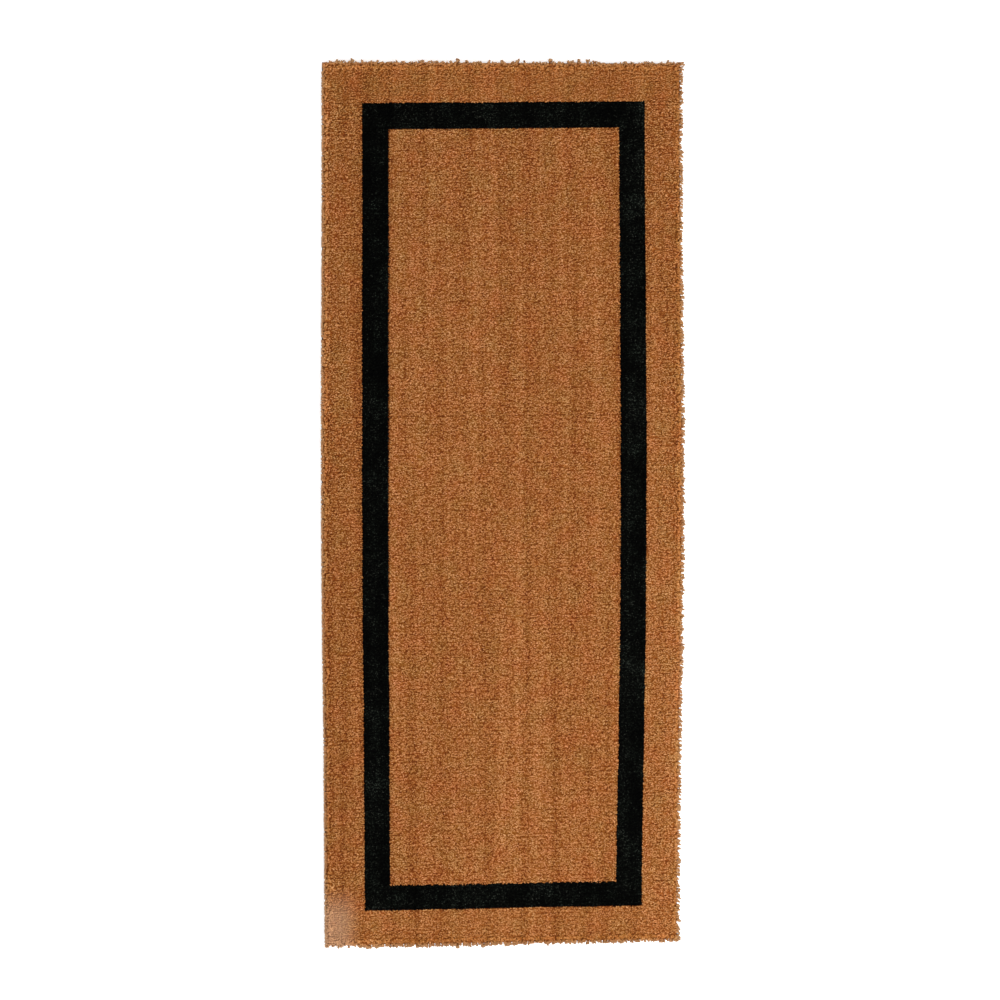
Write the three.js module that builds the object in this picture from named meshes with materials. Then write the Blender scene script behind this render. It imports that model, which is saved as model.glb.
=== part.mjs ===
// Coir door mat with a black border: a flexible PVC backing sheet with coir pile standing in it.
// Units are millimetres and +Z is up. The origin is at the centre of the underside, +X runs across
// the mat and +Y runs along it, towards its far end.

import * as THREE from "three";

// Driving dimensions
const MAT_WIDTH = 610;
const MAT_LENGTH = 1524;
const MAT_HEIGHT = 17;
const BACKING_THICKNESS = 3;

// The border is a rectangular frame of black pile. It sits a little off centre on the mat, so the margin
// of natural pile outside it has its own width on each side.
const BORDER_WIDTH = 44;
const MARGIN_LEFT = 68.5;
const MARGIN_RIGHT = 62;
const MARGIN_FAR = 67.5;
const MARGIN_NEAR = 63.5;

// The outline of the whole mat, and of the border's outer and inner edges, as rectangles seen from above
const matEdge = {
  left: -MAT_WIDTH / 2,
  right: MAT_WIDTH / 2,
  near: -MAT_LENGTH / 2,
  far: MAT_LENGTH / 2,
};
const borderOuter = {
  left: matEdge.left + MARGIN_LEFT,
  right: matEdge.right - MARGIN_RIGHT,
  near: matEdge.near + MARGIN_NEAR,
  far: matEdge.far - MARGIN_FAR,
};
const borderInner = {
  left: borderOuter.left + BORDER_WIDTH,
  right: borderOuter.right - BORDER_WIDTH,
  near: borderOuter.near + BORDER_WIDTH,
  far: borderOuter.far - BORDER_WIDTH,
};

const blackVinyl = () => new THREE.MeshStandardMaterial({ color: 0x1d1c1b, roughness: 0.62, metalness: 0 });
const naturalCoir = () => new THREE.MeshStandardMaterial({ color: 0x9d6134, roughness: 0.95, metalness: 0 });
const blackCoir = () => new THREE.MeshStandardMaterial({ color: 0x0b0b09, roughness: 0.9, metalness: 0 });

const doorMat = new THREE.Group();

// A flat slab over a rectangle, from the height "bottom" to the height "top"
function addSlab(name, area, bottom, top, material) {
  const slab = new THREE.Mesh(
    new THREE.BoxGeometry(area.right - area.left, area.far - area.near, top - bottom),
    material,
  );
  slab.name = name;
  slab.position.set((area.left + area.right) / 2, (area.near + area.far) / 2, (bottom + top) / 2);
  doorMat.add(slab);
}

function addPile(name, area, material) {
  addSlab(name, area, BACKING_THICKNESS, MAT_HEIGHT, material);
}

// The pile between an outer and an inner rectangle, in four straight runs: the far and near runs have the
// outer rectangle's full width, and the left and right runs lie between them.
function addPileFrame(prefix, outer, inner, makeMaterial) {
  addPile(`${prefix}_far`, { ...outer, near: inner.far }, makeMaterial());
  addPile(`${prefix}_near`, { ...outer, far: inner.near }, makeMaterial());
  addPile(`${prefix}_left`, { ...outer, right: inner.left, near: inner.near, far: inner.far }, makeMaterial());
  addPile(`${prefix}_right`, { ...outer, left: inner.right, near: inner.near, far: inner.far }, makeMaterial());
}

addSlab("backing_sheet", matEdge, 0, BACKING_THICKNESS, blackVinyl());
addPileFrame("margin_pile", matEdge, borderOuter, naturalCoir);
addPileFrame("border_pile", borderOuter, borderInner, blackCoir);
addPile("field_pile", borderInner, naturalCoir());

export default doorMat;
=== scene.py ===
"""Coir door mat with a black border: every lock of the pile is geometry, standing in a vinyl backing.

The mat lies on a pale floor with +X across it, +Y towards its far end and +Z up. All lengths are in metres.
"""

import math

import bpy
import numpy as np
from mathutils import Matrix, Vector


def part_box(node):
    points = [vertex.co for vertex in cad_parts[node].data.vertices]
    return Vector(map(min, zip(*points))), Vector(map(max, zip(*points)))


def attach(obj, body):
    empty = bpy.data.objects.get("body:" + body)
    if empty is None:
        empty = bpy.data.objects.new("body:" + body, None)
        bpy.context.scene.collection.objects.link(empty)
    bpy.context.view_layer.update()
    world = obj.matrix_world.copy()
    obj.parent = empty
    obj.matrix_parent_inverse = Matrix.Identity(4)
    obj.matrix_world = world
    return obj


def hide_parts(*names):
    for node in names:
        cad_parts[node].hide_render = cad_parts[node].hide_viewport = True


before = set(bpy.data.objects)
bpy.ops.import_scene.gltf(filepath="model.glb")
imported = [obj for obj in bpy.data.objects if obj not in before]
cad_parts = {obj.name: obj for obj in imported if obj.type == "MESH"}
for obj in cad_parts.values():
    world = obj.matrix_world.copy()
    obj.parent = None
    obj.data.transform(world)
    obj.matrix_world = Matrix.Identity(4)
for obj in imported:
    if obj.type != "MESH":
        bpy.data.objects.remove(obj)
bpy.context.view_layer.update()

MM = 0.001
BAKE_UV = "OFBake"
BODY = "root"

# The mat as the frame gives it: the cut edges, and the border's outer and inner edges
BACKING_LOW, BACKING_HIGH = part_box("backing_sheet")
FIELD_LOW, FIELD_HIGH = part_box("field_pile")
FAR_RUN_LOW, FAR_RUN_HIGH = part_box("border_pile_far")
NEAR_RUN_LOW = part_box("border_pile_near")[0]
LEFT, RIGHT = BACKING_LOW.x, BACKING_HIGH.x
NEAR, FAR = BACKING_LOW.y, BACKING_HIGH.y
WIDTH, LENGTH = RIGHT - LEFT, FAR - NEAR
BORDER_LEFT, BORDER_RIGHT = FAR_RUN_LOW.x, FAR_RUN_HIGH.x
BORDER_NEAR, BORDER_FAR = NEAR_RUN_LOW.y, FAR_RUN_HIGH.y
FIELD_LEFT, FIELD_RIGHT = FIELD_LOW.x, FIELD_HIGH.x
FIELD_NEAR, FIELD_FAR = FIELD_LOW.y, FIELD_HIGH.y
ROOT_Z, TIP_Z = FIELD_LOW.z, FIELD_HIGH.z

# The mat was cut a little narrower at its ends than halfway along, its middle lies slightly to the right,
# and its far end is cut slightly out of square.
END_NARROWING = 0.0045
BOW_WIDENING = 0.0198
BOW_SHIFT = 1.4 * MM
BOW_CENTRE = -44 * MM
BOW_REACH = 0.8
FAR_SKEW = 6 * MM
# Towards the near end it widens again to the right, and its left edge was trimmed a little closer elsewhere.
NEAR_WIDENS_BELOW = -430 * MM
NEAR_WIDENING = 4.0 * MM
NEAR_WIDENING_POWER = 0.6
NEAR_SHIFT = -1.4 * MM
LEFT_TRIM = 1.3 * MM

# The dye's edge wanders. Inside the border it lies a little further towards the near end than the frame has
# it, and it spread into the field from the left band, but not near that band's near end.
DYE_WANDER_FINE, DYE_CELL_FINE = 0.45 * MM, 11 * MM
DYE_WANDER_BROAD, DYE_CELL_BROAD = 0.5 * MM, 70 * MM
DYE_SHIFT = 0.7 * MM
DYE_SPREAD = 1.6 * MM
DYE_SPREAD_FADES_OVER = 250 * MM

# Tufts stand in rows across the mat, each row shifted by a share of the tufts' pitch.
ROW_COUNT = round(LENGTH / (6.74 * MM))
TUFT_COUNT = round(WIDTH / (5.4 * MM))
ROW_PITCH = LENGTH / ROW_COUNT
TUFT_PITCH = WIDTH / TUFT_COUNT
ROW_SHIFT = 0.3
TUFT_SCATTER_X, TUFT_SCATTER_Y = 0.6 * MM, 0.5 * MM
TUFT_INSET = 2.2 * MM

# The rows wave together, but not at the two ends, and each row also wanders a little by itself.
ROW_WAVE = 1.6 * MM
ROW_WAVE_CELL_X, ROW_WAVE_CELL_Y = 50 * MM, 36 * MM
ROW_WAVE_FREE_AFTER = 30 * MM
ROW_WANDER, ROW_WANDER_CELL = 0.35 * MM, 9 * MM
ROW_WANDER_STRETCH = 1000.0

# Each tuft opens into clumps, the other way round in every second tuft of a row, and each clump into locks.
CLUMP_ACROSS = [x * MM for x in (-1.9, 0.0, 1.9, -0.95, 0.95)]
CLUMP_ALONG = [y * MM for y in (-1.57, -1.57, -1.57, 1.63, 1.63)]
CLUMPS_PER_TUFT = len(CLUMP_ACROSS)
CLUMP_REACH = 3.2 * MM
LOCKS_PER_CLUMP = 3
# A lock's foot stands at this share of its clump's spread, and some clumps are worn down.
FOOT_SHARE = 0.4
WORN_SHARE = 0.045

# Tufts nearer than RIM to a cut edge have no neighbours to hold them up: their locks lean, bend and spread.
RIM = 12 * MM
RIM_LEAN_REACH = 16 * MM
RIM_SWING_SHARE = 0.6
LOCK_WIDE, RIM_WIDER = 1.32 * MM, 0.4 * MM
LOCK_DEEP, RIM_DEEPER = 0.84 * MM, 1.0 * MM
BEND_SHARE, BEND_HEIGHT, BEND_SCALE = 0.35, 0.55, 0.75
# Tips reach at most this far beyond the cut edges and above the level of the pile.
OVERHANG = 5 * MM
ABOVE_TIP = 1.0 * MM
# The greyer fringe begins FRINGE_FROM inside the cut edge and is full FRINGE_OVER further out.
FRINGE_FROM, FRINGE_OVER = 6.0 * MM, 7.0 * MM

# The packed feet of the tufts fill the lower part of the pile.
FEET_INSET = 2.5 * MM
FEET_HEIGHT, FEET_SWELL, FEET_ROUGHNESS = 9.55 * MM, 0.4 * MM, 0.4 * MM
FEET_RIM = 4 * MM
# The feet get a darker tone: painted shade low in the pile, between the tufts.
FEET_SHADED_TONE, FEET_SHADED_CLUMP_TONE = 0.25, 0.4

# The vinyl was cut flush on the left, and shrank back a little under the pile elsewhere.
BACKING_INSET = 2.5 * MM
BACKING_INSET_LEFT = 0.2 * MM
BACKING_STEP = 6 * MM
PEBBLE_CELL, PEBBLE_DEPTH = 9 * MM, 0.12 * MM

# Dark bits of husk caught in the pile, as x, y and radius
HUSK_SPECKS = [
    (273 * MM, 333 * MM, 4.0 * MM),
    (34 * MM, 612 * MM, 3.2 * MM),
    (-76 * MM, 394 * MM, 3.2 * MM),
    (-100 * MM, 9 * MM, 3.0 * MM),
    (-46 * MM, 745 * MM, 3.0 * MM),
]
# Clumps there end this much lower.
HUSK_DROP = 2.0 * MM

# How many loose fibres lie on each part of the pile, in small groups
BORDER_STRAYS = {
    "border_pile_far": 21,
    "border_pile_near": 15,
    "border_pile_left": 18,
    "border_pile_right": 15,
}
NATURAL_STRAYS = {
    "field_pile": 45,
    "margin_pile_far": 6,
    "margin_pile_near": 9,
    "margin_pile_right": 12,
}
STRAYS_PER_GROUP = 3
STRAY_SCATTER = 8 * MM
STRAY_INSET = 5 * MM
STRAY_STEPS, STRAY_SIDES = 6, 3
BORDER_STRAY_TONE, NATURAL_STRAY_TONE = 2.2, 1.1

# The large parts of the pile are made in bands along the mat, which keeps each piece small.
PILE_BANDS = {"field_pile": 8, "margin_pile_left": 2, "margin_pile_right": 2}

# Everything drawn at random has a seed of its own, so that changing one thing leaves the others as they are.
SEED_TUFTS = 20
SEED_ROW_WAVE = 21
SEED_LEAN_X = 22
SEED_LEAN_Y = 23
SEED_LOCKS = 25
SEED_FEET = 26
SEED_DYE_FINE = 27
SEED_DYE_BROAD = 28
SEED_PEBBLE = 29
SEED_ROW_WANDER = 30
SEED_STRAYS = 32


# ---------------------------------------------------------------- noise, outline and meshes


def eased(share):
    """0 to 1, leaving 0 and reaching 1 gently."""
    return share * share * (3 - 2 * share)


def smooth_noise(x, y, cell_x, cell_y, seed):
    """Noise of about -1 to 1 that turns smoothly over cells of the given size."""
    # The cells cover twice the mat's width and length.
    spare_cells = 4
    columns = int(2 * WIDTH / cell_x) + spare_cells
    rows = int(2 * LENGTH / cell_y) + spare_cells
    grid = np.random.RandomState(seed).uniform(-1, 1, (rows, columns))
    u = (x - 2 * LEFT) / cell_x
    v = (y - 2 * NEAR) / cell_y
    column = np.clip(u.astype(int), 0, columns - 2)
    row = np.clip(v.astype(int), 0, rows - 2)
    s = eased(np.clip(u - column, 0, 1))
    t = eased(np.clip(v - row, 0, 1))
    near_side = grid[row, column] * (1 - s) + grid[row, column + 1] * s
    far_side = grid[row + 1, column] * (1 - s) + grid[row + 1, column + 1] * s
    return near_side * (1 - t) + far_side * t


def smooth_line(places, seed):
    """Noise of about -1 to 1 along a line, turning smoothly from one whole number to the next."""
    whole = np.floor(places).astype(np.int64)
    share = eased(places - whole)
    lowest = whole.min()
    values = np.random.RandomState(seed).uniform(-1, 1, whole.max() - lowest + 2)
    return values[whole - lowest] * (1 - share) + values[whole - lowest + 1] * share


def to_cut_edge(x, y):
    """How far each place lies inside the nearest cut edge."""
    return np.minimum(np.minimum(x - LEFT, RIGHT - x), np.minimum(y - NEAR, FAR - y))


def bowed(points):
    """The points, moved from the frame's straight outline to the one that the mat was really cut to."""
    x, y = points[:, 0], points[:, 1]
    bow = np.cos(np.clip((y - BOW_CENTRE) / BOW_REACH, -1, 1) * math.pi / 2) ** 2
    skew = -FAR_SKEW * x / WIDTH
    beyond_far = np.clip((y - BORDER_FAR) / (FAR - BORDER_FAR), 0, 1)
    near_end = np.clip((NEAR_WIDENS_BELOW - y) / (NEAR_WIDENS_BELOW - NEAR), 0, 1) ** NEAR_WIDENING_POWER
    beyond_right = np.clip((x - FIELD_RIGHT) / (RIGHT - FIELD_RIGHT), 0, 1)
    beyond_left = np.clip((BORDER_LEFT - x) / (BORDER_LEFT - LEFT), 0, 1)
    moved = points.copy()
    near_move = near_end * (NEAR_SHIFT + NEAR_WIDENING * beyond_right)
    moved[:, 0] = x * (1 - END_NARROWING + BOW_WIDENING * bow) + BOW_SHIFT * bow
    moved[:, 0] += near_move + (1 - near_end) * LEFT_TRIM * beyond_left
    moved[:, 1] = y + skew * beyond_far
    return moved


def mesh_object(name, points, triangles, floats):
    """A smooth-shaded piece from arrays, riding on the mat's body, with one float per point for each name."""
    mesh = bpy.data.meshes.new(name)
    mesh.vertices.add(len(points))
    mesh.vertices.foreach_set("co", points.astype(np.float32).ravel())
    mesh.loops.add(triangles.size)
    mesh.loops.foreach_set("vertex_index", triangles.astype(np.int32).ravel())
    mesh.polygons.add(len(triangles))
    mesh.polygons.foreach_set("loop_start", np.arange(0, triangles.size, 3, dtype=np.int32))
    mesh.update(calc_edges=True)
    mesh.shade_smooth()
    for key, values in floats.items():
        layer = mesh.attributes.new(key, "FLOAT", "POINT")
        layer.data.foreach_set("value", values.astype(np.float32))
    piece = bpy.data.objects.new(name, mesh)
    bpy.context.scene.collection.objects.link(piece)
    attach(piece, BODY)
    return piece


def slab_faces(rows, columns):
    """Lid, base and wall of a closed slab. Its points are a grid of upper ones, then one of lower ones."""
    index = np.arange(rows * columns).reshape(rows, columns)
    a, b = index[:-1, :-1].ravel(), index[:-1, 1:].ravel()
    c, d = index[1:, 1:].ravel(), index[1:, :-1].ravel()
    lid = np.concatenate([np.stack([a, b, c], axis=1), np.stack([a, c, d], axis=1)])
    under = rows * columns
    base = lid[:, ::-1] + under
    rim = np.concatenate([index[0, :], index[1:, -1], index[-1, -2::-1], index[-2:0:-1, 0]])
    after = np.roll(rim, -1)
    wall = np.concatenate(
        [
            np.stack([rim + under, after + under, after], axis=1),
            np.stack([rim + under, after, rim], axis=1),
        ]
    )
    return lid, base, wall


def lay_bake_map(piece):
    """A bake map that looks straight down on the piece and fills the square, but for a narrow free edge."""
    mesh = piece.data
    layer = mesh.uv_layers.new(name=BAKE_UV)
    points = np.empty(len(mesh.vertices) * 3, dtype=np.float32)
    mesh.vertices.foreach_get("co", points)
    points = points.reshape(-1, 3)[:, :2]
    low = points.min(axis=0)
    span = points.max(axis=0) - low
    corners = np.empty(len(mesh.loops), dtype=np.int32)
    mesh.loops.foreach_get("vertex_index", corners)
    free_edge = 0.004
    places = free_edge + (1 - 2 * free_edge) * (points - low) / span
    layer.data.foreach_set("uv", places[corners].ravel())


# ---------------------------------------------------------------- the pile


def lean_at_edges(x, y, draw):
    """How far the tips of the outermost tufts lean along X and along Y, for want of neighbours."""
    throw = draw.gamma(1.6, 1.0, len(x)) * MM
    at_left, at_right = (np.clip(1 - gap / RIM_LEAN_REACH, 0, 1) for gap in (x - LEFT, RIGHT - x))
    at_near, at_far = (np.clip(1 - gap / RIM_LEAN_REACH, 0, 1) for gap in (y - NEAR, FAR - y))
    # The near edge was trimmed in cuts that don't quite meet: closer on the right, and closest at the left.
    on_right = np.clip((x - 54 * MM) / (4 * MM), 0, 1)
    near_left_corner = np.clip((LEFT + 90 * MM - x) / (30 * MM), 0, 1)
    trimmed = (1.7 * on_right + 3.2 * near_left_corner) * MM
    lean_x = (2.2 * MM + 0.3 * throw) * at_right - 4.2 * MM * at_left
    lean_y = (1.7 * throw - 1.4 * MM) * at_far - (2.2 * MM - trimmed + 0.8 * throw) * at_near
    # Handling has turned in the far left corner and pushed out the two right ones.
    lean_x += 4.5 * MM * at_left * at_far + 3.0 * MM * at_right * (at_near + at_far)
    lean_y -= 4.0 * MM * at_left * at_far
    return lean_x, lean_y


def plant_tufts():
    """The foot of each tuft, before the mat's bow, with the tuft's own lean, height and turn."""
    draw = np.random.RandomState(SEED_TUFTS)
    row, column = np.mgrid[0:ROW_COUNT, 0:TUFT_COUNT]
    row, column = row.ravel(), column.ravel()
    count = len(row)
    row_shift = draw.uniform(-ROW_SHIFT, ROW_SHIFT, ROW_COUNT)
    x = LEFT + (column + 0.5 + row_shift[row]) * TUFT_PITCH + draw.normal(0, TUFT_SCATTER_X, count)
    y = NEAR + (row + 0.5) * ROW_PITCH + draw.normal(0, TUFT_SCATTER_Y, count)
    free = np.clip(np.minimum(y - NEAR, FAR - y) / ROW_WAVE_FREE_AFTER, 0, 1)
    y += ROW_WAVE * free * smooth_noise(x, y, ROW_WAVE_CELL_X, ROW_WAVE_CELL_Y, SEED_ROW_WAVE)
    y += ROW_WANDER * smooth_line(x / ROW_WANDER_CELL + row * ROW_WANDER_STRETCH, SEED_ROW_WANDER)
    x = np.clip(x, LEFT + TUFT_INSET, RIGHT - TUFT_INSET)
    y = np.clip(y, NEAR + TUFT_INSET, FAR - TUFT_INSET)
    lean_x = draw.normal(0, 0.2 * MM, count) + 0.3 * MM * smooth_noise(x, y, 35 * MM, 50 * MM, SEED_LEAN_X)
    lean_y = draw.normal(0, 0.15 * MM, count) + 0.22 * MM * smooth_noise(x, y, 50 * MM, 35 * MM, SEED_LEAN_Y)
    edge_lean_x, edge_lean_y = lean_at_edges(x, y, draw)
    return {
        "x": x,
        "y": y,
        "lean_x": lean_x + edge_lean_x,
        "lean_y": lean_y + edge_lean_y,
        "rise": draw.normal(0, 0.3 * MM, count),
        "turn": np.where(column % 2 == 0, 1, -1),
        "at_rim": to_cut_edge(x, y) < RIM,
    }


def on_husk(x, y):
    """1 where a bit of husk lies and 0 elsewhere."""
    husk = np.zeros(len(x))
    for husk_x, husk_y, radius in HUSK_SPECKS:
        husk = np.maximum(husk, np.hypot(x - husk_x, y - husk_y) < radius)
    return husk


def open_clumps(tufts, draw):
    """The clumps of every tuft, with each clump's swing away from its foot, its height, tone and turn."""
    clumps = len(tufts["x"]) * CLUMPS_PER_TUFT
    of_tuft = {key: np.repeat(values, CLUMPS_PER_TUFT) for key, values in tufts.items()}
    spread_x = np.tile(CLUMP_ACROSS, len(tufts["x"])) + draw.normal(0, 0.25 * MM, clumps)
    along = np.tile(CLUMP_ALONG, len(tufts["x"])) + draw.normal(0, 1.0 * MM, clumps)
    spread_y = along * of_tuft["turn"]
    out = np.hypot(spread_x, spread_y) / CLUMP_REACH
    stray = np.where(of_tuft["at_rim"], RIM_SWING_SHARE, 1.0)
    swing_x = spread_x + of_tuft["lean_x"] + stray * draw.standard_t(3, clumps) * 0.32 * MM
    swing_y = spread_y + of_tuft["lean_y"] + stray * draw.standard_t(3, clumps) * 0.22 * MM
    worn = draw.uniform(0, 1, clumps) < WORN_SHARE
    husk = on_husk(of_tuft["x"] + spread_x, of_tuft["y"] + spread_y)
    drop = 0.8 * MM * out**2 + worn * draw.uniform(2.5, 6.0, clumps) * MM + HUSK_DROP * husk
    return {
        "x": of_tuft["x"],
        "y": of_tuft["y"],
        "spread_x": spread_x,
        "spread_y": spread_y,
        "swing_x": swing_x,
        "swing_y": swing_y,
        "rise": of_tuft["rise"] + draw.normal(0, 0.4 * MM, clumps) - drop,
        "tone": np.clip(0.5 + draw.laplace(0, 0.2, clumps), 0, 1),
        "husk": husk,
        "turn": draw.normal(0, 0.45, clumps),
        "at_rim": of_tuft["at_rim"],
    }


def grow_locks(tufts):
    """The locks of every tuft, clinging together in clumps: foot and tip of each, its width and tones."""
    draw = np.random.RandomState(SEED_LOCKS)
    clump = {key: np.repeat(values, LOCKS_PER_CLUMP) for key, values in open_clumps(tufts, draw).items()}
    count = len(clump["x"])
    foot_x = clump["x"] + FOOT_SHARE * clump["spread_x"]
    foot_y = clump["y"] + FOOT_SHARE * clump["spread_y"]
    tip_x = clump["x"] + clump["swing_x"] + draw.normal(0, 0.6 * MM, count)
    tip_y = clump["y"] + clump["swing_y"] + draw.normal(0, 0.38 * MM, count)
    # The left edge was cut flush, right through the pile.
    flush = LEFT - draw.uniform(0.4, 0.6, count) * MM
    tip_x = np.clip(tip_x, flush, RIGHT + OVERHANG)
    tip_y = np.clip(tip_y, NEAR - OVERHANG, FAR + OVERHANG)
    tip_z = TIP_Z - 0.4 * MM + clump["rise"] + draw.normal(0, 0.25 * MM, count)
    tip_z = np.minimum(tip_z, TIP_Z + ABOVE_TIP)
    return {
        "foot": np.stack([foot_x, foot_y, np.full(count, ROOT_Z)], axis=1),
        "tip": np.stack([tip_x, tip_y, tip_z], axis=1),
        "wide": (LOCK_WIDE + RIM_WIDER * clump["at_rim"]) * draw.uniform(0.7, 1.3, count),
        "deep": (LOCK_DEEP + RIM_DEEPER * clump["at_rim"]) * draw.uniform(0.7, 1.3, count),
        "turn": clump["turn"] + draw.normal(0, 0.3, count),
        "phase": draw.uniform(0, 2 * math.pi, count),
        "cut": draw.normal(0, 0.3, (count, 2)),
        "tone": np.clip(0.5 + draw.laplace(0, 0.18, count), 0, 1) * (1 - clump["husk"]),
        "clump_tone": clump["tone"] * (1 - clump["husk"]),
        "at_rim": clump["at_rim"],
    }


def ring(centre, locks, scale, tilt):
    """Three points round a lock at the given centre, as an array of shape (locks, 3, 3)."""
    corner = locks["phase"][:, None] + np.arange(3) * (2 * math.pi / 3)
    along = np.cos(corner) * (locks["wide"] * scale)[:, None]
    across = np.sin(corner) * (locks["deep"] * scale)[:, None]
    cos, sin = np.cos(locks["turn"])[:, None], np.sin(locks["turn"])[:, None]
    x, y = along * cos - across * sin, along * sin + across * cos
    points = np.repeat(centre[:, None, :], 3, axis=1)
    points[:, :, 0] += x
    points[:, :, 1] += y
    points[:, :, 2] += tilt * (x * locks["cut"][:, 0:1] + y * locks["cut"][:, 1:2])
    return points


def foot_sides():
    """The three triangles between a lock's foot, which is its point 0, and the ring of points 1 to 3."""
    return [(0, 2, 1), (0, 3, 2), (0, 1, 3)]


def straight_locks(locks):
    """Locks held upright by their neighbours: a foot and a cut end."""
    points = np.concatenate([locks["foot"][:, None, :], ring(locks["tip"], locks, 1.0, 1.0)], axis=1)
    return points, foot_sides(), [(1, 2, 3)]


def bent_locks(locks):
    """Locks at the rim, which rise from the foot and then lean out."""
    middle = locks["foot"] + (locks["tip"] - locks["foot"]) * np.array([BEND_SHARE, BEND_SHARE, BEND_HEIGHT])
    rings = [ring(middle, locks, BEND_SCALE, 0.0), ring(locks["tip"], locks, 1.0, 1.0)]
    points = np.concatenate([locks["foot"][:, None, :], *rings], axis=1)
    sides = foot_sides()
    for k in range(3):
        after = (k + 1) % 3
        sides += [(1 + k, 1 + after, 4 + after), (1 + k, 4 + after, 4 + k)]
    return points, sides, [(4, 5, 6)]


def lock_mesh(locks, chosen):
    """Points, triangles and floats of the chosen locks. The cut ends come last, so they win in a bake."""
    points, sides, ends = [], [], []
    floats = {"tone": [], "clump_tone": [], "rim": []}
    start = 0
    for make, at_rim in ((straight_locks, False), (bent_locks, True)):
        picked = chosen[locks["at_rim"][chosen] == at_rim]
        if len(picked) == 0:
            continue
        some = {key: values[picked] for key, values in locks.items()}
        some_points, lock_sides, lock_ends = make(some)
        per_lock = some_points.shape[1]
        first = start + (np.arange(len(picked)) * per_lock)[:, None, None]
        points.append(some_points.reshape(-1, 3))
        sides.append((first + np.array(lock_sides)).reshape(-1, 3))
        ends.append((first + np.array(lock_ends)).reshape(-1, 3))
        floats["tone"].append(np.repeat(some["tone"], per_lock))
        floats["clump_tone"].append(np.repeat(some["clump_tone"], per_lock))
        floats["rim"].append(np.full(len(picked) * per_lock, float(at_rim)))
        start += len(picked) * per_lock
    points = np.concatenate(points)
    floats = {key: np.concatenate(values) for key, values in floats.items()}
    floats["fringe"] = np.clip((FRINGE_FROM - to_cut_edge(points[:, 0], points[:, 1])) / FRINGE_OVER, 0, 1)
    return bowed(points), np.concatenate(sides + ends), floats


def packed_feet(left, right, near, far):
    """The dense lower part of the pile over a rectangle, as points, triangles and floats.

    It is one closed body that swells under every row of tufts.
    """
    columns = max(2, round((right - left) / (TUFT_PITCH / 2))) + 1
    rows = max(2, round((far - near) / (ROW_PITCH / 2))) + 1
    x, y = np.meshgrid(np.linspace(left, right, columns), np.linspace(near, far, rows))
    x, y = x.ravel(), y.ravel()
    wave = 0.5 + 0.5 * np.cos(2 * math.pi * ((y - NEAR) / ROW_PITCH - 0.5))
    roughness = np.random.RandomState(SEED_FEET).normal(0, FEET_ROUGHNESS, len(x))
    top = ROOT_Z + FEET_HEIGHT + FEET_SWELL * wave + roughness
    upper = np.stack([x, y, top], axis=1)
    lower = np.stack([x, y, np.full(len(x), ROOT_Z)], axis=1)
    lid, base, wall = slab_faces(rows, columns)
    count = 2 * len(x)
    floats = {
        "tone": np.full(count, FEET_SHADED_TONE),
        "clump_tone": np.full(count, FEET_SHADED_CLUMP_TONE),
        "rim": np.tile((to_cut_edge(x, y) < FEET_RIM).astype(float), 2),
        "fringe": np.zeros(count),
    }
    return bowed(np.concatenate([upper, lower])), np.concatenate([base, wall, lid]), floats


def zone_of(x, y):
    """Which part of the pattern each tip stands in."""
    wander = DYE_WANDER_FINE * smooth_noise(x, y, DYE_CELL_FINE, DYE_CELL_FINE, SEED_DYE_FINE)
    wander += DYE_WANDER_BROAD * smooth_noise(x, y, DYE_CELL_BROAD, DYE_CELL_BROAD, SEED_DYE_BROAD)
    u, v = x + wander, y - wander
    zones = np.full(len(x), "margin_pile_left", dtype=object)
    zones[u > (BORDER_LEFT + BORDER_RIGHT) / 2] = "margin_pile_right"
    zones[v > BORDER_FAR] = "margin_pile_far"
    zones[v < BORDER_NEAR] = "margin_pile_near"
    in_border = (u > BORDER_LEFT) & (u < BORDER_RIGHT) & (v > BORDER_NEAR) & (v < BORDER_FAR)
    field_left = FIELD_LEFT + DYE_SPREAD * np.clip(1 + y / DYE_SPREAD_FADES_OVER, 0, 1)
    field_near, field_far = FIELD_NEAR - DYE_SHIFT, FIELD_FAR - DYE_SHIFT
    in_field = (u > field_left) & (u < FIELD_RIGHT) & (v > field_near) & (v < field_far)
    zones[in_border & (u <= field_left)] = "border_pile_left"
    zones[in_border & (u >= FIELD_RIGHT)] = "border_pile_right"
    zones[in_border & (v >= field_far)] = "border_pile_far"
    zones[in_border & (v <= field_near)] = "border_pile_near"
    zones[in_field] = "field_pile"
    return zones


def build_pile():
    """One piece for each zone of the pile, or several bands where a zone is large."""
    locks = grow_locks(plant_tufts())
    zones = zone_of(locks["tip"][:, 0], locks["tip"][:, 1])
    pieces = []
    for zone in sorted(set(zones)):
        low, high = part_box(zone)
        count = PILE_BANDS.get(zone, 1)
        cuts = np.linspace(low.y, high.y, count + 1)
        band = np.clip(np.searchsorted(cuts, locks["tip"][:, 1]) - 1, 0, count - 1)
        for number in range(count):
            chosen = np.flatnonzero((zones == zone) & (band == number))
            points, triangles, floats = lock_mesh(locks, chosen)
            feet, feet_triangles, feet_floats = packed_feet(
                max(low.x, LEFT + FEET_INSET),
                min(high.x, RIGHT - FEET_INSET),
                max(cuts[number], NEAR + FEET_INSET),
                min(cuts[number + 1], FAR - FEET_INSET),
            )
            piece = mesh_object(
                f"{zone}_tufts" if count == 1 else f"{zone}_tufts_{number + 1}",
                np.concatenate([feet, points]),
                np.concatenate([feet_triangles, triangles + len(feet)]),
                {key: np.concatenate([feet_floats[key], values]) for key, values in floats.items()},
            )
            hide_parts(zone)
            lay_bake_map(piece)
            pieces.append(piece)
    return pieces


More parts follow.
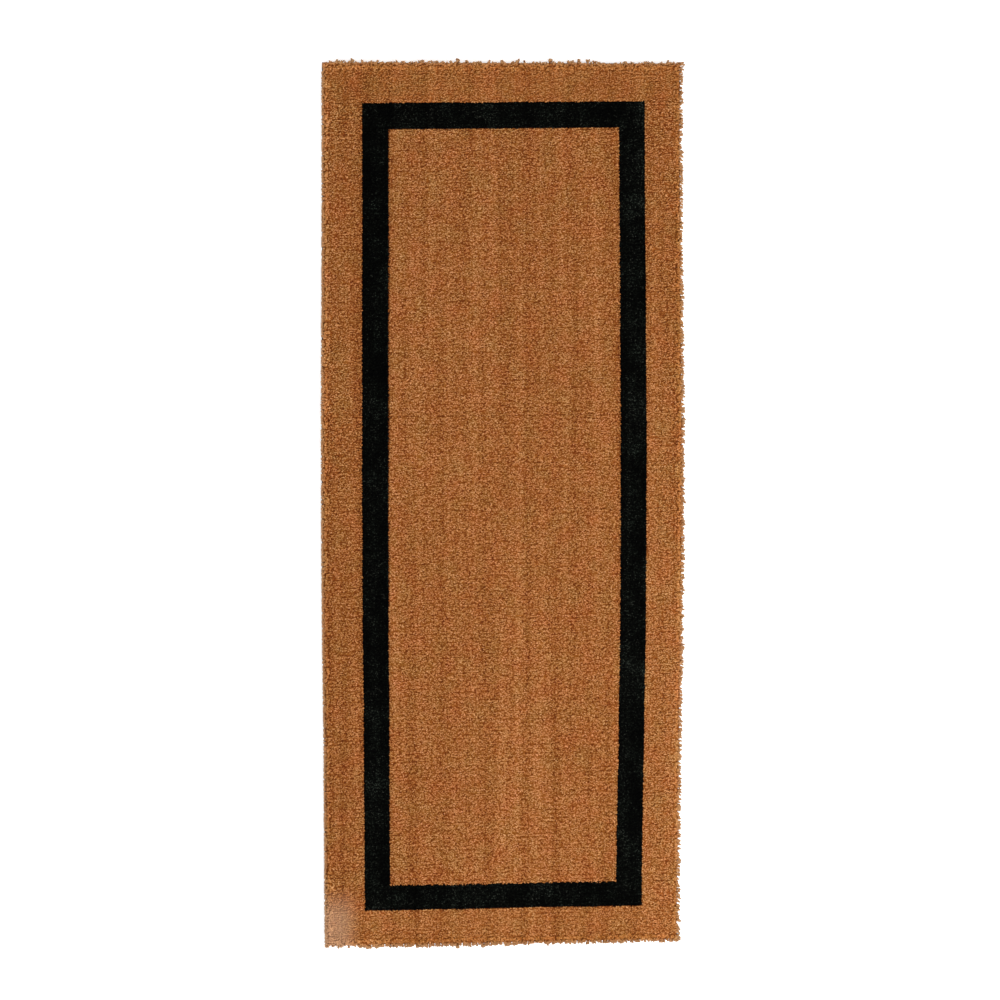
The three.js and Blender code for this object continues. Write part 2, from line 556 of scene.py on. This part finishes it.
def fibre_points(x, y, heading, curl, length, radius):
    """The rings of one loose fibre, which lies on the pile, turns by the curl and thins towards its ends."""
    place = np.array([x, y, TIP_Z])
    points = []
    for step in range(STRAY_STEPS):
        share = step / (STRAY_STEPS - 1)
        turn = heading + curl * (share - 0.5)
        side = np.array([-math.sin(turn), math.cos(turn), 0])
        thick = radius * (1 - 0.7 * abs(2 * share - 1) ** 3)
        for corner in (0, 2 * math.pi / 3, 4 * math.pi / 3):
            points.append(place + thick * (side * math.cos(corner) + np.array([0, 0, math.sin(corner)])))
        place = place + np.array([math.cos(turn), math.sin(turn), 0]) * length / (STRAY_STEPS - 1)
    return np.array(points)


def fibre_triangles(start):
    """The sides and the two ends of one loose fibre whose first point has the given number."""
    triangles = []
    for step in range(STRAY_STEPS - 1):
        for k in range(STRAY_SIDES):
            a = start + step * STRAY_SIDES + k
            b = start + step * STRAY_SIDES + (k + 1) % STRAY_SIDES
            triangles += [(a, b, b + STRAY_SIDES), (a, b + STRAY_SIDES, a + STRAY_SIDES)]
    last = start + (STRAY_STEPS - 1) * STRAY_SIDES
    return triangles + [(start, start + 2, start + 1), (last, last + 1, last + 2)]


def build_strays(name, counts, tone):
    """Loose paler fibres lying on the pile of the given zones, in small groups."""
    draw = np.random.RandomState(SEED_STRAYS)
    points_per_fibre = STRAY_STEPS * STRAY_SIDES
    points, triangles, tones = [], [], []
    for zone, number in counts.items():
        low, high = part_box(zone)
        for k in range(number):
            if k % STRAYS_PER_GROUP == 0:
                middle = draw.uniform(low.x, high.x), draw.uniform(low.y, high.y)
            x = np.clip(middle[0] + draw.normal(0, STRAY_SCATTER), low.x + STRAY_INSET, high.x - STRAY_INSET)
            y = np.clip(middle[1] + draw.normal(0, STRAY_SCATTER), low.y + STRAY_INSET, high.y - STRAY_INSET)
            heading, curl = draw.uniform(0, 2 * math.pi), draw.normal(0, 0.9)
            length, radius = draw.uniform(4, 10) * MM, draw.uniform(0.14, 0.26) * MM
            triangles += fibre_triangles(len(points) * points_per_fibre)
            points.append(fibre_points(x, y, heading, curl, length, radius))
            tones += [tone * draw.uniform(0.7, 1.0)] * points_per_fibre
    tones = np.array(tones)
    points = bowed(np.concatenate(points))
    return mesh_object(name, points, np.array(triangles), {"tone": tones, "clump_tone": tones})


# ---------------------------------------------------------------- the backing


def build_backing():
    """The vinyl sheet, as a closed grid whose cut edges follow the mat's bow."""
    columns = round(WIDTH / BACKING_STEP) + 1
    rows = round(LENGTH / BACKING_STEP) + 1
    across = np.linspace(LEFT + BACKING_INSET_LEFT, RIGHT - BACKING_INSET, columns)
    x, y = np.meshgrid(across, np.linspace(NEAR + BACKING_INSET, FAR - BACKING_INSET, rows))
    x, y = x.ravel(), y.ravel()
    top = np.stack([x, y, np.full(len(x), BACKING_HIGH.z)], axis=1)
    pebble = np.abs(smooth_noise(x, y, PEBBLE_CELL, PEBBLE_CELL, SEED_PEBBLE)) * PEBBLE_DEPTH
    bottom = np.stack([x, y, BACKING_LOW.z + pebble], axis=1)
    points = bowed(np.concatenate([top, bottom]))
    triangles = np.concatenate(slab_faces(rows, columns))
    piece = mesh_object("vinyl_backing", points, triangles, {})
    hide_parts("backing_sheet")
    return piece


# ---------------------------------------------------------------- materials


def linear(red, green, blue):
    """A colour given as 0 to 255 on a screen, as a shader takes it."""
    shares = [c / 255 for c in (red, green, blue)]
    return [s / 12.92 if s <= 0.04045 else ((s + 0.055) / 1.055) ** 2.4 for s in shares] + [1.0]


WHITE = (1, 1, 1, 1)
# The colour of a pale patch of painted glare over the near left corner
PAINTED_GLARE = linear(183, 147, 116)
GREYED_END = linear(142, 114, 84)
HUSK_TINT = [(0.3, (1.0, 0.89, 0.87, 1)), (0.7, (0.9, 0.98, 0.9, 1))]

# For each coir: the colours from its darkest to its lightest tone, the shade deep in the pile and halfway to
# the tips, how shiny it is, how patchy its dye is, and how much its locks differ from each other.
NATURAL_COIR = {
    "colours": [
        (0.0, linear(116, 60, 10)),
        (0.35, linear(158, 99, 47)),
        (0.65, linear(183, 125, 74)),
        (1.0, linear(213, 158, 108)),
    ],
    "shades": ((0.3, 0.14, 0.02, 1), (0.74, 0.62, 0.42, 1)),
    "specular": 0.12,
    "patchy": 0.1,
    "locks": 1.0,
}
BLACK_COIR = {
    "colours": [
        (0.2, linear(0, 0, 0)),
        (0.5, linear(5, 6, 4)),
        (0.8, linear(18, 22, 19)),
        (1.0, linear(54, 57, 52)),
    ],
    "shades": ((0.3, 0.3, 0.3, 1), (0.65, 0.65, 0.65, 1)),
    "specular": 0.03,
    "patchy": 0.7,
    "locks": 0.9,
}

# Evened-out margins take on EVEN_TONE, and lose their painted shade, by these shares at most.
EVEN_TONE = 0.35
EVEN_FAR, EVEN_NEAR = 0.22, 0.1
# How much lighter or darker the tone is at a cut edge, near the left edge, where those two meet, on the right
# margin and along the near edge. The darkening near the left edge is painted shade and the lightening on the
# right margin is painted light, as the light falls from the right.
TONE_AT_RIM = -0.13
PAINTED_SHADE_AT_LEFT = -0.06
TONE_AT_LEFT_RIM = 0.12
PAINTED_LIGHT_AT_RIGHT = 0.03
TONE_AT_NEAR = -0.05
# How far below the tips the pile's shade is full, and how far below them it begins
SHADE_FULL, SHADE_BEGINS = 6.5 * MM, 0.5 * MM
RIM_UNSHADED = 0.5
# How much of that painted glare lies over the near left corner, at most
PAINTED_GLARE_SHARE = 0.55
GREYED_END_SHARE = 0.72


class Nodes:
    """Short names for making the nodes of one material."""

    def __init__(self, name):
        self.material = bpy.data.materials.new(name)
        self.material.use_nodes = True
        self.tree = self.material.node_tree
        self.shader = self.tree.nodes["Principled BSDF"]
        self.place = self.add("ShaderNodeTexCoord").outputs["Object"]

    def add(self, kind, **settings):
        node = self.tree.nodes.new(kind)
        for key, value in settings.items():
            setattr(node, key, value)
        return node

    def put(self, socket, value):
        if isinstance(value, bpy.types.NodeSocket):
            self.tree.links.new(value, socket)
        else:
            socket.default_value = value

    def attribute(self, name):
        return self.add("ShaderNodeAttribute", attribute_name=name).outputs["Fac"]

    def axes(self):
        """The place along X, Y and Z."""
        split = self.add("ShaderNodeSeparateXYZ")
        self.put(split.inputs[0], self.place)
        return split.outputs["X"], split.outputs["Y"], split.outputs["Z"]

    def noise(self, scale, detail=2.0, roughness=0.5):
        """Noise of 0 to 1 whose cells are 1 / scale metres, given for each axis."""
        stretch = self.add("ShaderNodeVectorMath", operation="MULTIPLY")
        self.put(stretch.inputs[0], self.place)
        stretch.inputs[1].default_value = scale
        texture = self.add("ShaderNodeTexNoise")
        self.put(texture.inputs["Vector"], stretch.outputs[0])
        texture.inputs["Scale"].default_value = 1.0
        texture.inputs["Detail"].default_value = detail
        texture.inputs["Roughness"].default_value = roughness
        return texture.outputs["Fac"]

    def math(self, operation, first, second):
        node = self.add("ShaderNodeMath", operation=operation)
        self.put(node.inputs[0], first)
        self.put(node.inputs[1], second)
        return node.outputs[0]

    def times(self, first, second):
        return self.math("MULTIPLY", first, second)

    def plus(self, first, second):
        return self.math("ADD", first, second)

    def minus(self, first, second):
        return self.math("SUBTRACT", first, second)

    def weigh(self, base, parts):
        """base, plus each value's distance from a half times its weight."""
        total = base
        for value, weight in parts:
            total = self.plus(self.times(self.minus(value, 0.5), weight), total)
        return total

    def ramp(self, value, stops):
        node = self.add("ShaderNodeValToRGB")
        self.put(node.inputs["Fac"], value)
        elements = node.color_ramp.elements
        while len(elements) < len(stops):
            elements.new(0.5)
        for element, (place, colour) in zip(elements, stops):
            element.position = place
            element.color = colour
        return node.outputs["Color"]

    def between(self, value, low, high, out_low, out_high):
        """out_low up to low and out_high from high on, with a smooth step between them."""
        node = self.add("ShaderNodeMapRange", interpolation_type="SMOOTHSTEP")
        self.put(node.inputs["Value"], value)
        node.inputs["From Min"].default_value = low
        node.inputs["From Max"].default_value = high
        node.inputs["To Min"].default_value = out_low
        node.inputs["To Max"].default_value = out_high
        return node.outputs["Result"]

    def mix(self, kind, share, first, second):
        node = self.add("ShaderNodeMix", data_type="RGBA", blend_type=kind)
        self.put(node.inputs["Factor"], share)
        self.put(node.inputs["A"], first)
        self.put(node.inputs["B"], second)
        return node.outputs["Result"]

    def bump(self, height, distance, strength=1.0):
        node = self.add("ShaderNodeBump")
        self.put(node.inputs["Height"], height)
        node.inputs["Distance"].default_value = distance
        node.inputs["Strength"].default_value = strength
        self.put(self.shader.inputs["Normal"], node.outputs["Normal"])


def evened(nodes, y):
    """How far the locks are evened out towards the two ends, above all the far one: their tones draw together
    and their painted shade is weakened.
    """
    far = nodes.between(y, BORDER_FAR - 5 * MM, BORDER_FAR + 10 * MM, 0.0, EVEN_FAR)
    near = nodes.between(y, BORDER_NEAR - 10 * MM, BORDER_NEAR + 5 * MM, EVEN_NEAR, 0.0)
    return nodes.plus(far, near)


def coir_tone(nodes, coir, fibres, husk, even, rim):
    """From dark to light: each lock's own tone, with streaks and patches over it, and what its place adds,
    among it painted shade near the left edge and painted light on the right margin.
    """
    x, y, _ = nodes.axes()
    speckle = nodes.noise((460, 560, 20), detail=1.0)
    streaks = nodes.noise((52, 0.8, 0), detail=2.0)
    patches = nodes.noise((9, 9, 0), detail=3.0)
    tone = nodes.weigh(
        0.5,
        [
            (nodes.attribute("tone"), 0.72 * coir["locks"]),
            (nodes.attribute("clump_tone"), 0.12 * coir["locks"]),
            (speckle, 1.6 * coir["locks"]),
            (streaks, 0.6),
            (patches, coir["patchy"]),
            (husk, coir["patchy"]),
            (fibres, 0.4),
        ],
    )
    tone = nodes.minus(tone, nodes.times(even, nodes.minus(tone, EVEN_TONE)))
    at_left = nodes.between(x, BORDER_LEFT, BORDER_LEFT + 60 * MM, 1.0, 0.0)
    # The shift near the left edge is painted shade, and the one on the right margin is painted light.
    for shift in (
        nodes.times(rim, TONE_AT_RIM),
        nodes.times(at_left, PAINTED_SHADE_AT_LEFT),
        nodes.times(nodes.times(rim, at_left), TONE_AT_LEFT_RIM),
        nodes.between(x, BORDER_RIGHT - 20 * MM, BORDER_RIGHT + 10 * MM, 0.0, PAINTED_LIGHT_AT_RIGHT),
        nodes.between(y, NEAR + 12 * MM, NEAR + 30 * MM, TONE_AT_NEAR, 0.0),
    ):
        tone = nodes.plus(tone, shift)
    return tone


def coir_material(name, coir):
    """Coconut fibre: each lock has its own tone and fine lengthwise fibres, and darkens towards its foot."""
    nodes = Nodes(name)
    x, y, z = nodes.axes()
    fibres = nodes.noise((2600, 2600, 160), detail=3.0, roughness=0.6)
    husk = nodes.noise((31, 24, 0), detail=3.0)
    even = evened(nodes, y)
    rim = nodes.attribute("rim")
    colour = nodes.ramp(coir_tone(nodes, coir, fibres, husk, even, rim), coir["colours"])
    colour = nodes.mix("MULTIPLY", 1.0, colour, nodes.ramp(husk, HUSK_TINT))
    # Locks at a cut edge catch the light down to their feet.
    deep, halfway = coir["shades"]
    height = nodes.between(z, TIP_Z - SHADE_FULL, TIP_Z - SHADE_BEGINS, 0.0, 1.0)
    shade = nodes.ramp(height, [(0.0, deep), (0.5, halfway), (1.0, WHITE)])
    shade = nodes.mix("MIX", nodes.plus(nodes.times(rim, RIM_UNSHADED), even), shade, WHITE)
    colour = nodes.mix("MULTIPLY", 1.0, colour, shade)
    # A pale patch of painted glare lies over the near left corner.
    painted_glare = nodes.times(
        nodes.between(x, LEFT + 25 * MM, LEFT + 65 * MM, PAINTED_GLARE_SHARE, 0.0),
        nodes.between(y, NEAR + 50 * MM, NEAR + 110 * MM, 1.0, 0.0),
    )
    colour = nodes.mix("MIX", painted_glare, colour, PAINTED_GLARE)
    # The outermost cut ends are greyer and darker, most of all at their tips.
    greyed_ends = nodes.times(nodes.times(nodes.attribute("fringe"), GREYED_END_SHARE), height)
    colour = nodes.mix("MIX", greyed_ends, colour, GREYED_END)
    nodes.put(nodes.shader.inputs["Base Color"], colour)
    nodes.put(nodes.shader.inputs["Roughness"], nodes.between(fibres, 0.3, 0.7, 0.72, 0.9))
    nodes.shader.inputs["Specular IOR Level"].default_value = coir["specular"]
    nodes.bump(fibres, 0.15 * MM, 0.6)
    return nodes.material


def vinyl_material():
    """Dull black vinyl with a fine pebble."""
    nodes = Nodes("vinyl")
    pebble = nodes.noise((900, 900, 900), detail=2.0)
    patches = nodes.noise((14, 14, 14), detail=3.0)
    tone = nodes.weigh(0.5, [(pebble, 0.5), (patches, 0.8)])
    colour = nodes.ramp(tone, [(0.2, linear(20, 19, 18)), (0.8, linear(38, 37, 35))])
    nodes.put(nodes.shader.inputs["Base Color"], colour)
    nodes.put(nodes.shader.inputs["Roughness"], nodes.between(patches, 0.3, 0.7, 0.5, 0.68))
    nodes.shader.inputs["Specular IOR Level"].default_value = 0.4
    nodes.bump(pebble, 0.2 * MM)
    return nodes.material


# ---------------------------------------------------------------- floor, light and camera


def build_floor():
    """A pale floor that glows a little, so that it shows as white."""
    mesh = bpy.data.meshes.new("floor")
    half = 20.0
    corners = [(-half, -half, 0), (half, -half, 0), (half, half, 0), (-half, half, 0)]
    mesh.from_pydata(corners, [], [(0, 1, 2, 3)])
    floor = bpy.data.objects.new("floor", mesh)
    bpy.context.scene.collection.objects.link(floor)
    nodes = Nodes("floor")
    nodes.shader.inputs["Base Color"].default_value = (0.92, 0.92, 0.92, 1)
    nodes.shader.inputs["Roughness"].default_value = 0.9
    nodes.shader.inputs["Specular IOR Level"].default_value = 0.1
    nodes.shader.inputs["Emission Color"].default_value = WHITE
    nodes.shader.inputs["Emission Strength"].default_value = 0.28
    mesh.materials.append(nodes.material)


def build_light():
    """An even white room, and one softbox high over the mat, towards its right and near side."""
    world = bpy.data.worlds.new("studio")
    world.use_nodes = True
    background = world.node_tree.nodes["Background"]
    background.inputs["Color"].default_value = WHITE
    background.inputs["Strength"].default_value = 1.35
    bpy.context.scene.world = world
    lamp = bpy.data.lights.new("softbox", "AREA")
    lamp.shape = "RECTANGLE"
    lamp.size = 1.6
    lamp.size_y = 1.6
    lamp.energy = 170
    softbox = bpy.data.objects.new("softbox", lamp)
    bpy.context.scene.collection.objects.link(softbox)
    softbox.location = (1.6, -0.9, 4.2)
    softbox.rotation_euler = (-softbox.location).to_track_quat("-Z", "Y").to_euler()


def build_camera():
    """A long lens high over the mat, from a little beyond its far end and from its left."""
    tilt, side = math.radians(9.45), math.radians(4.34)
    distance = 9.0
    aim = Vector((-2.1 * MM, 13.4 * MM, 0))
    back = Vector((-math.sin(side) * math.cos(tilt), math.sin(tilt), math.cos(side) * math.cos(tilt)))
    across = Vector((0, 1, 0)).cross(back).normalized()
    up = back.cross(across)
    lens = bpy.data.cameras.new("camera")
    lens.sensor_width = 36
    lens.lens = 189.8
    lens.clip_end = 100
    camera = bpy.data.objects.new("camera", lens)
    bpy.context.scene.collection.objects.link(camera)
    turn = Matrix((across, up, back)).transposed().to_4x4()
    camera.matrix_world = Matrix.Translation(aim + back * distance) @ turn
    bpy.context.scene.camera = camera


# ---------------------------------------------------------------- the scene


build_floor()
build_light()
build_camera()
backing = build_backing()
backing.data.materials.append(vinyl_material())
pile = build_pile()
pile.append(build_strays("border_stray_fibres", BORDER_STRAYS, BORDER_STRAY_TONE))
pile.append(build_strays("field_stray_fibres", NATURAL_STRAYS, NATURAL_STRAY_TONE))
natural = coir_material("natural_coir", NATURAL_COIR)
black = coir_material("black_coir", BLACK_COIR)
for piece in pile:
    piece.data.materials.append(black if piece.name.startswith("border") else natural)

scene = bpy.context.scene
scene.view_settings.view_transform = "Standard"
scene.view_settings.look = "None"
